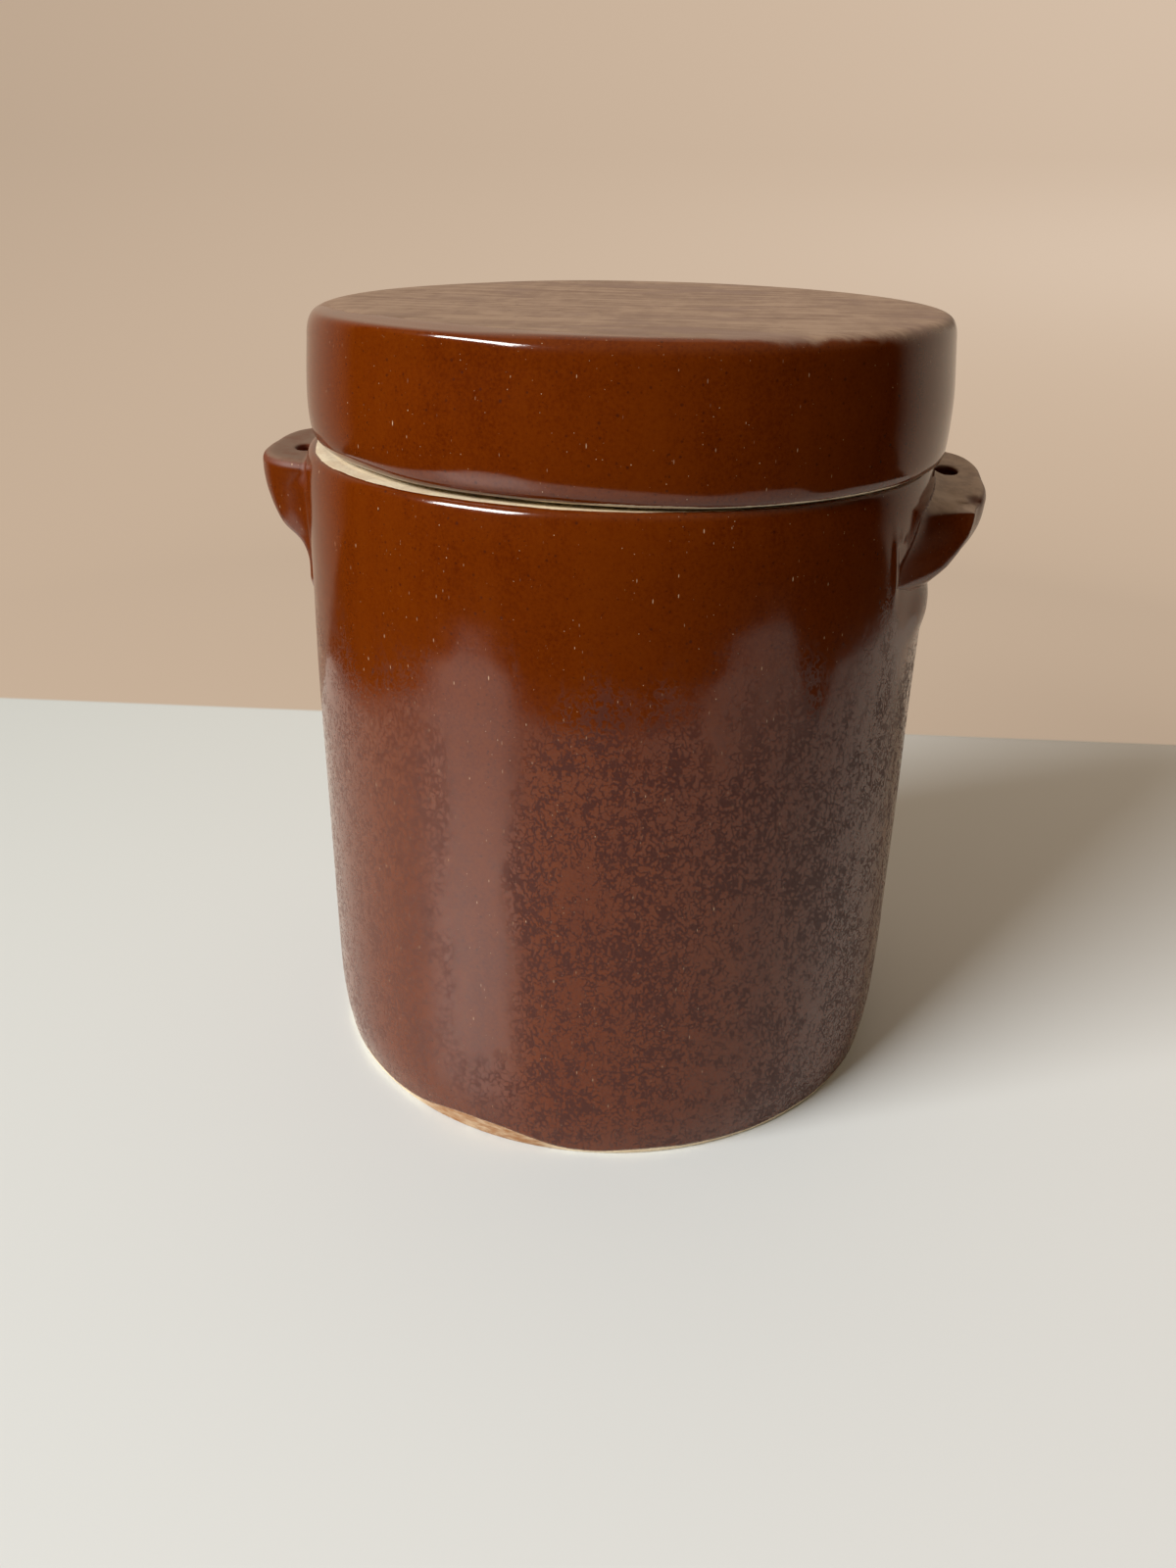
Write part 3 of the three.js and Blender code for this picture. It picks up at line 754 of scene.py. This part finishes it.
def glaze_surface(g, mm, x, y, z, zone, clay_mask, inside, top=None):
    """Brown glaze over cream clay. zone: 0..1 where the fine worm-like mottling shows; clay_mask: 1 on bare clay."""
    # colour drifts slowly, in upright streaks where the glaze ran
    drift = g.noise(g.scaled(mm, (0.022, 0.022, 0.009)), 1.0, 3.0, 0.55)
    runs = g.noise(g.scaled(mm, (0.11, 0.11, 0.018), (3, 5, 1)), 1.0, 3.0, 0.6)
    cloud = g.noise(g.scaled(mm, (0.16, 0.16, 0.12), (9, 2, 4)), 1.0, 4.0, 0.62)
    grain = g.noise(mm, 1.15, 2.0, 0.6)
    tone = g.add(g.add(g.mul(g.sub(drift, 0.5), 0.9), g.mul(g.sub(runs, 0.5), 0.55)),
                 g.add(g.mul(g.sub(cloud, 0.5), 0.5), g.mul(g.sub(grain, 0.5), 1.15)))
    colour = g.blend(g.step(tone, -0.55, 0.0, 0.0, 1.0, False), GLAZE_DEEP, GLAZE)
    colour = g.blend(g.step(tone, 0.0, 0.6, 0.0, 1.0, False), colour, GLAZE_WARM)
    # iron specks and a few pale pinholes
    dark = specks(g, mm, 0.42, 0.2, 0.5)
    fine = specks(g, g.scaled(mm, (1, 1, 1), (4, 7, 2)), 0.85, 0.24, 0.4)
    colour = g.blend(g.mul(dark, 0.6), colour, (0.030, 0.005, 0.002))
    colour = g.blend(g.mul(fine, 0.55), colour, (0.036, 0.006, 0.002))
    pin = g.math("MAXIMUM", pale_marks(g, mm, 0.60, 0.080, (31, 17, 5), (1, 1, 1)),
                 g.math("MAXIMUM", pale_marks(g, mm, 0.50, 0.075, (3, 57, 15), (1.0, 1.0, 0.26)),
                        pale_marks(g, mm, 0.46, 0.07, (13, 7, 25), (1.0, 0.9, 0.26), (0.5, 0.6, 0.0))))
    # fine worm-like marks, duller than the glaze round them: contour lines of a noise, in drifting patches. Their
    # roughness and dip are the glaze's own texture; their darker colour is painted shade that stands in for the
    # reflection they lose
    n1 = g.noise(g.scaled(mm, (0.54, 0.54, 0.44)), 1.0, 2.5, 0.55, 0.3)
    patch = g.noise(g.scaled(mm, (0.050, 0.050, 0.024), (2, 8, 3)), 1.0, 3.0, 0.6)
    n2 = g.noise(g.scaled(mm, (0.24, 0.24, 0.18), (5, 5, 5)), 1.0, 3.0, 0.55)
    dense_here = g.add(g.mul(g.sub(patch, 0.5), 0.26), g.mul(g.sub(n2, 0.5), 0.30))
    reach = g.add(0.050, g.mul(dense_here, 0.70))
    line = g.step(g.sub(g.math("ABSOLUTE", g.sub(n1, 0.5)), reach), 0.012, -0.012)
    worm = g.mul(line, zone)
    # painted shade: the darker colour of the worm-like marks
    colour = g.blend(g.mul(worm, 0.9), colour, (0.048, 0.0046, 0.0002))
    colour = g.blend(g.mul(pin, 0.9), colour, (0.56, 0.38, 0.24))

    # bare clay: cream body with buff clouds, iron spots and turning lines
    c1 = g.noise(g.scaled(mm, (0.09, 0.09, 0.3), (1, 1, 1)), 1.0, 4.0, 0.6)
    c2 = g.noise(mm, 0.9, 3.0, 0.6)
    clay = g.blend(g.step(c1, 0.35, 0.7), (0.80, 0.70, 0.51), (0.68, 0.55, 0.38))
    clay = g.blend(g.step(c2, 0.42, 0.78, 0.0, 0.45), clay, (0.50, 0.37, 0.23))
    clay = g.blend(g.mul(specks(g, mm, 0.5, 0.14, 0.3), 0.7), clay, (0.14, 0.06, 0.025))
    colour = g.blend(clay_mask, colour, clay)

    rough = g.add(0.115, g.mul(g.sub(cloud, 0.5), 0.05))
    rough = g.mix(worm, rough, 0.56)
    rough = g.mix(g.mul(dark, 0.5), rough, 0.3)
    rough = g.mix(clay_mask, rough, 0.86)

    height = g.mul(g.noise(g.scaled(mm, (0.35, 0.35, 0.22), (7, 3, 3)), 1.0, 2.0), 0.012)
    height = g.add(height, g.mul(grain, 0.004))
    peel = g.noise(g.scaled(mm, (1.0, 1.0, 0.8), (11, 3, 8)), 1.0, 2.0, 0.5)
    height = g.add(height, g.mul(g.mul(peel, zone), 0.02))
    height = g.sub(height, g.mul(worm, 0.016))
    height = g.sub(height, g.mul(pin, 0.02))
    clay_h = g.add(g.mul(c2, 0.12), g.mul(g.noise(g.scaled(mm, (0.02, 0.02, 1.4)), 1.0, 2.0), 0.10))
    height = g.mix(clay_mask, height, clay_h)
    return colour, rough, height


def finish_shader(g, colour, rough, height):
    bump = g.node("ShaderNodeBump")
    bump.inputs["Strength"].default_value = 1.0
    bump.inputs["Distance"].default_value = MM
    g.put(bump.inputs["Height"], height)
    b = g.node("ShaderNodeBsdfPrincipled")
    g.put(b.inputs["Base Color"], colour)
    g.put(b.inputs["Roughness"], rough)
    b.inputs["IOR"].default_value = 1.5
    g.put(b.inputs["Normal"], bump.outputs[0])
    g.put(g.out.inputs["Surface"], b.outputs[0])
    return g.material


def edge_mask(g, mm, value):
    """1 on bare clay, from the signed distance to the glaze's edge, made ragged by noise."""
    wobble = g.mul(g.sub(g.noise(mm, 0.8, 3.0, 0.6), 0.5), 0.55)
    return g.step(g.add(value, wobble), 0.12, -0.12)


def jar_material():
    g = Nodes("glazed_stoneware_jar")
    mm, x, y, z = g.coords()
    az = g.mul(g.math("ARCTAN2", y, x), 180 / math.pi)
    n = g.noise(g.scaled(mm, (0.05, 0.05, 0.02), (6, 1, 9)), 1.0, 4.0, 0.6)
    # the worm-like marks, with their painted shade, show only on the lower body, below a ragged line
    low = g.step(g.add(z, g.mul(g.sub(n, 0.5), -90)), 172, 128)
    # a smooth upright run of glaze, left of the front, shows none of the mottling
    band = g.math("ABSOLUTE", g.add(g.add(az, 106.5), g.mul(g.sub(n, 0.5), 14)))
    band = g.math("MAXIMUM", g.step(band, 3.5, 8.5), g.step(g.add(z, g.mul(g.sub(n, 0.5), 40)), 42, 30))
    low = g.mul(low, g.mul(band, g.step(az, -122, -94, 0.5, 1.0)))
    inside = g.attribute("inside")
    low = g.mul(low, g.sub(1.0, inside))
    clay = edge_mask(g, mm, g.attribute("glaze"))
    colour, rough, height = glaze_surface(g, mm, x, y, z, low, clay, inside)
    # toasted clay where the glaze drew back from the foot
    toast_n = g.noise(g.scaled(mm, (0.25, 0.25, 0.9)), 1.0, 3.0, 0.6)
    toast = g.mul(g.step(z, 9.6, 7.8), g.step(g.math("ABSOLUTE", g.add(az, 108.0)), 18.0, 11.0))
    toast = g.mul(toast, clay)
    colour = g.blend(g.mul(toast, g.step(toast_n, 0.25, 0.7, 0.55, 1.0)), colour, (0.30, 0.135, 0.05))
    return finish_shader(g, colour, rough, height)


def lid_material():
    g = Nodes("glazed_stoneware_lid")
    mm, x, y, z = g.coords()
    inside = g.attribute("inside")
    clay = edge_mask(g, mm, g.attribute("glaze"))
    colour, rough, height = glaze_surface(g, mm, x, y, z, 0.0, clay, inside)
    # the flat top fired drier: a duller skin with streaks and pits
    geo = g.node("ShaderNodeNewGeometry")
    nz = g.node("ShaderNodeSeparateXYZ")
    g.put(nz.inputs[0], geo.outputs["Normal"])
    wobble = g.mul(g.sub(g.noise(mm, 0.25, 3.0, 0.6), 0.5), 1.6)
    top = g.step(g.add(g.attribute("skin"), wobble), -0.9, 0.9)
    streak = g.noise(g.scaled(mm, (0.03, 0.30, 0.1), (2, 2, 2)), 1.0, 5.0, 0.65, 0.5)
    cross = g.noise(g.scaled(mm, (0.17, 0.05, 0.1), (7, 1, 2)), 1.0, 4.0, 0.6, 0.3)
    cloud = g.noise(g.scaled(mm, (0.030, 0.045, 0.04), (4, 9, 2)), 1.0, 4.0, 0.6, 0.8)
    fine = g.noise(g.scaled(mm, (0.5, 1.3, 1.0), (4, 9, 2)), 1.0, 3.0, 0.6)
    lie = g.add(g.add(g.mul(streak, 0.42), g.mul(cross, 0.16)), g.add(g.mul(cloud, 0.30), g.mul(fine, 0.12)))
    skin = g.blend(g.step(lie, 0.42, 0.58), (0.315, 0.205, 0.138), (0.172, 0.097, 0.062))
    skin = g.blend(g.step(cloud, 0.50, 0.68, 0.0, 0.55), skin, (0.215, 0.132, 0.105))
    colour = g.blend(g.mul(top, 0.94), colour, skin)
    rough = g.mix(top, rough, g.add(0.38, g.mul(lie, 0.16)))
    height = g.mix(top, height, g.add(g.mul(fine, 0.02), g.mul(streak, 0.035)))
    pits = specks(g, g.scaled(mm, (1, 1, 0.5), (3, 1, 2)), 0.16, 0.12, 0.4)
    colour = g.blend(g.mul(g.mul(pits, top), 0.7), colour, (0.03, 0.008, 0.003))
    height = g.sub(height, g.mul(g.mul(pits, top), 0.05))
    return finish_shader(g, colour, rough, height)


def ear_material():
    g = Nodes("glazed_stoneware_ear")
    mm, x, y, z = g.coords()
    colour, rough, height = glaze_surface(g, mm, x, y, z, 0.0, 0.0, 0.0)
    geo = g.node("ShaderNodeNewGeometry")
    nz = g.node("ShaderNodeSeparateXYZ")
    g.put(nz.inputs[0], geo.outputs["Normal"])
    # the tops fired drier, as the lid's did; the right ear's top, which lies in the shade of the jar and lid, is
    # painted pale as painted light, and the left ear's top keeps a darker dry colour
    dry_top_and_painted_light = g.step(nz.outputs[2], 0.55, 0.95)
    patch = g.noise(g.scaled(mm, (0.22, 0.22, 0.22), (1, 4, 2)), 1.0, 3.0, 0.6)
    # except in a small thumbed hollow on the right one
    near = g.node("ShaderNodeVectorMath", operation="DISTANCE")
    g.put(near.inputs[0], mm)
    near.inputs[1].default_value = (106.3, -19.3, 192.8)
    dry_top_and_painted_light = g.mul(dry_top_and_painted_light, g.step(near.outputs["Value"], 1.6, 3.6, 0.15, 1.0))
    right = g.step(x, -10, 10)
    # painted light: the pale colour goes on the shaded right ear's top, the darker dry colour on the left ear's
    colour = g.blend(g.mul(dry_top_and_painted_light, g.step(patch, 0.3, 0.6, 0.6, 0.95)), colour, g.blend(right, (0.165, 0.10, 0.067), (0.60, 0.45, 0.35)))
    rough = g.mix(g.step(g.sub(nz.outputs[2], g.mul(right, 0.45)), 0.0, 0.4), g.add(rough, 0.12), g.sub(0.60, g.mul(right, 0.12)))
    return finish_shader(g, colour, rough, height)


# ---- pieces --------------------------------------------------------------------------------------------------------
jar = jar_mesh()
jar.data.materials.append(jar_material())
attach(jar, "crock")
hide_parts("crock_body")

ear_skin = ear_material()
for node, name, seed in (("lug_left", "stoneware_ear_left", 11), ("lug_right", "stoneware_ear_right", 23)):
    ear = ear_mesh(node, name, seed)
    ear.data.materials.append(ear_skin)
    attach(ear, "crock")
    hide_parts(node)

cap = lid_mesh()
cap.data.materials.append(lid_material())
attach(cap, "lid")
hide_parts("lid")


# ---- stage ---------------------------------------------------------------------------------------------------------
def pale(name, colour, rough, vary=0.02, specular=0.5):
    g = Nodes(name)
    mm, x, y, z = g.coords()
    n = g.noise(mm, 0.01, 3.0, 0.5)
    light = tuple(min(1, c * (1 + vary)) for c in colour)
    dark = tuple(c * (1 - vary) for c in colour)
    b = g.node("ShaderNodeBsdfPrincipled")
    g.put(b.inputs["Base Color"], g.blend(n, dark, light))
    b.inputs["Roughness"].default_value = rough
    b.inputs["Specular IOR Level"].default_value = specular
    g.put(g.out.inputs["Surface"], b.outputs[0])
    return g.material


def rays(obj, camera=False, diffuse=False, glossy=False, transmission=False, shadow=False):
    obj.visible_camera, obj.visible_diffuse, obj.visible_glossy = camera, diffuse, glossy
    obj.visible_transmission, obj.visible_volume_scatter, obj.visible_shadow = transmission, False, shadow


TABLE = (0.74, 0.735, 0.70)
BEYOND = (0.15, 0.116, 0.088)

# what is seen behind the crock: a pale floor that rises into a pale backdrop all round
R0, COVE, TALL = 0.62, 0.30, 2.6
prof = [(0.25, 0.0), (R0, 0.0)]
prof += [(R0 + COVE * math.sin(a), COVE - COVE * math.cos(a)) for a in np.linspace(0, math.pi / 2, 25)[1:]]
prof += [(R0 + COVE, 1.2), (R0 + COVE, TALL)]
ang = np.linspace(0, 2 * math.pi, 129)[:-1]
ring = np.array([[(r * math.cos(a), r * math.sin(a), z) for a in ang] for r, z in prof])
v, f = closed_grid(ring, np.array([0, 0, 0.0]), np.array([0, 0, TALL]))
f = [q[::-1] for q in f]
floor = mesh_object("floor_and_backdrop", v, f)
g = Nodes("stage_pale")
mm, x, y, z = g.coords()
b = g.node("ShaderNodeBsdfPrincipled")
n = g.noise(mm, 0.012, 3.0, 0.5)
far_side = g.step(g.add(x, g.mul(y, -0.35)), -620, 330, 0.0, 1.0, False)
table_c = g.blend(far_side, (0.53, 0.57, 0.565), (0.735, 0.76, 0.775))
beyond = g.step(g.sub(y, g.add(g.mul(x, 0.0613), 247.0)), -2.0, 2.0)
behind = g.math("MAXIMUM", beyond, g.step(z, 1.0, 30.0))
g.put(b.inputs["Base Color"], g.blend(behind, table_c, BEYOND))
b.inputs["Emission Color"].default_value = (0.400, 0.307, 0.227, 1)
g.put(b.inputs["Emission Strength"], behind)
b.inputs["Roughness"].default_value = 0.55
g.put(g.out.inputs["Surface"], b.outputs[0])
floor.data.materials.append(g.material)
rays(floor, camera=True, shadow=False)

# the table top that the glaze mirrors: its outline ends in the dark of the room
EDGE = [(-400, 190), (-400, -400), (-362, -432), (-316, -450), (-250, -437), (-188, -412), (-116, -410), (-17, -416), (81, -415),
        (178, -399), (239, -386), (314, -388), (392, -404), (473, -387), (538, -342), (566, -298), (523, -231), (446, -170),
        (401, -124), (413, -88), (462, -66), (506, -35), (526, 38), (539, 143), (547, 206), (540, 278), (289, 284), (215, 277),
        (149, 269), (-293, 232), (-374, 222)]
tv = np.array([(x * MM, y * MM, -0.0002) for x, y in EDGE])
table = mesh_object("table_top", tv, [list(range(len(EDGE)))[::1]])
table.data.materials.append(pale("stage_table", TABLE, 0.31))
rays(table, diffuse=True, glossy=True)

# the wall behind, seen only by light
wv = np.array([(-2.2, 0.11, 0), (2.2, 0.38, 0), (2.2, 0.38, 1.5), (-2.2, 0.11, 1.5)], float)
wall = mesh_object("wall_behind", wv, [[0, 1, 2, 3]])
g = Nodes("stage_wall")
glow = g.node("ShaderNodeEmission")
glow.inputs["Color"].default_value = (0.56, 0.435, 0.32, 1)
mm, x, y, z = g.coords()
g.put(glow.inputs["Strength"], g.mul(g.step(x, -1250, 60), g.step(x, 1500, 250)))
g.put(g.out.inputs["Surface"], glow.outputs[0])
wall.data.materials.append(g.material)
rays(wall, diffuse=True, glossy=True)

world = bpy.data.worlds.new("room")
world.use_nodes = True
wt = world.node_tree
up = wt.nodes.new("ShaderNodeSeparateXYZ")
wt.links.new(wt.nodes.new("ShaderNodeTexCoord").outputs["Generated"], up.inputs[0])
ramp = wt.nodes.new("ShaderNodeValToRGB")
ramp.color_ramp.elements[0].position, ramp.color_ramp.elements[0].color = 0.25, (0.012, 0.007, 0.003, 1)
ramp.color_ramp.elements[1].position, ramp.color_ramp.elements[1].color = 0.85, (0.26, 0.20, 0.13, 1)
wt.links.new(up.outputs[2], ramp.inputs[0])
wt.links.new(ramp.outputs[0], wt.nodes["Background"].inputs["Color"])
scene.world = world


def window(name, azimuth, elevation, distance, width, height, power, colour, target=(0, 0, 0.11)):
    light = bpy.data.lights.new(name, "AREA")
    light.shape = "RECTANGLE"
    light.size, light.size_y = width, height
    light.energy = power
    light.color = colour
    a, e = math.radians(azimuth), math.radians(elevation)
    d = Vector((math.cos(a) * math.cos(e), math.sin(a) * math.cos(e), math.sin(e)))
    obj = bpy.data.objects.new(name, light)
    obj.location = Vector(target) + d * distance
    obj.rotation_euler = (-d).to_track_quat("-Z", "Y").to_euler()
    obj.visible_camera = False
    scene.collection.objects.link(obj)
    return obj


window("window", -138.5, 33, 3.2, 1.70, 0.85, 157.0, (1.0, 0.985, 0.95))

# ---- camera --------------------------------------------------------------------------------------------------------
SPIN = math.radians(5.6)
C0 = Vector((0, -388.572, 272.900)) * MM
AXES = [Vector((0.99947111, 0.02845888, 0.01573484)), Vector((-0.02666301, 0.44016297, 0.89752194)),
        Vector((-0.01861657, 0.8974668, -0.44068898))]
spin = Matrix.Rotation(SPIN, 3, "Z")
r_, u_, w_ = [spin @ v for v in AXES]
camera = bpy.data.cameras.new("camera")
camera.lens, camera.sensor_width, camera.sensor_fit = 28.125, 36.0, "AUTO"
camera.clip_start, camera.clip_end = 0.01, 20
cam = bpy.data.objects.new("camera", camera)
scene.collection.objects.link(cam)
back = -w_
m = Matrix(((r_.x, u_.x, back.x), (r_.y, u_.y, back.y), (r_.z, u_.z, back.z)))
cam.matrix_world = Matrix.Translation(spin @ C0) @ m.to_4x4()
scene.camera = cam

scene.view_settings.view_transform = "Standard"
scene.view_settings.look = "None"
scene.view_settings.exposure = 0.0
scene.view_settings.gamma = 1.0
scene.cycles.max_bounces = 8
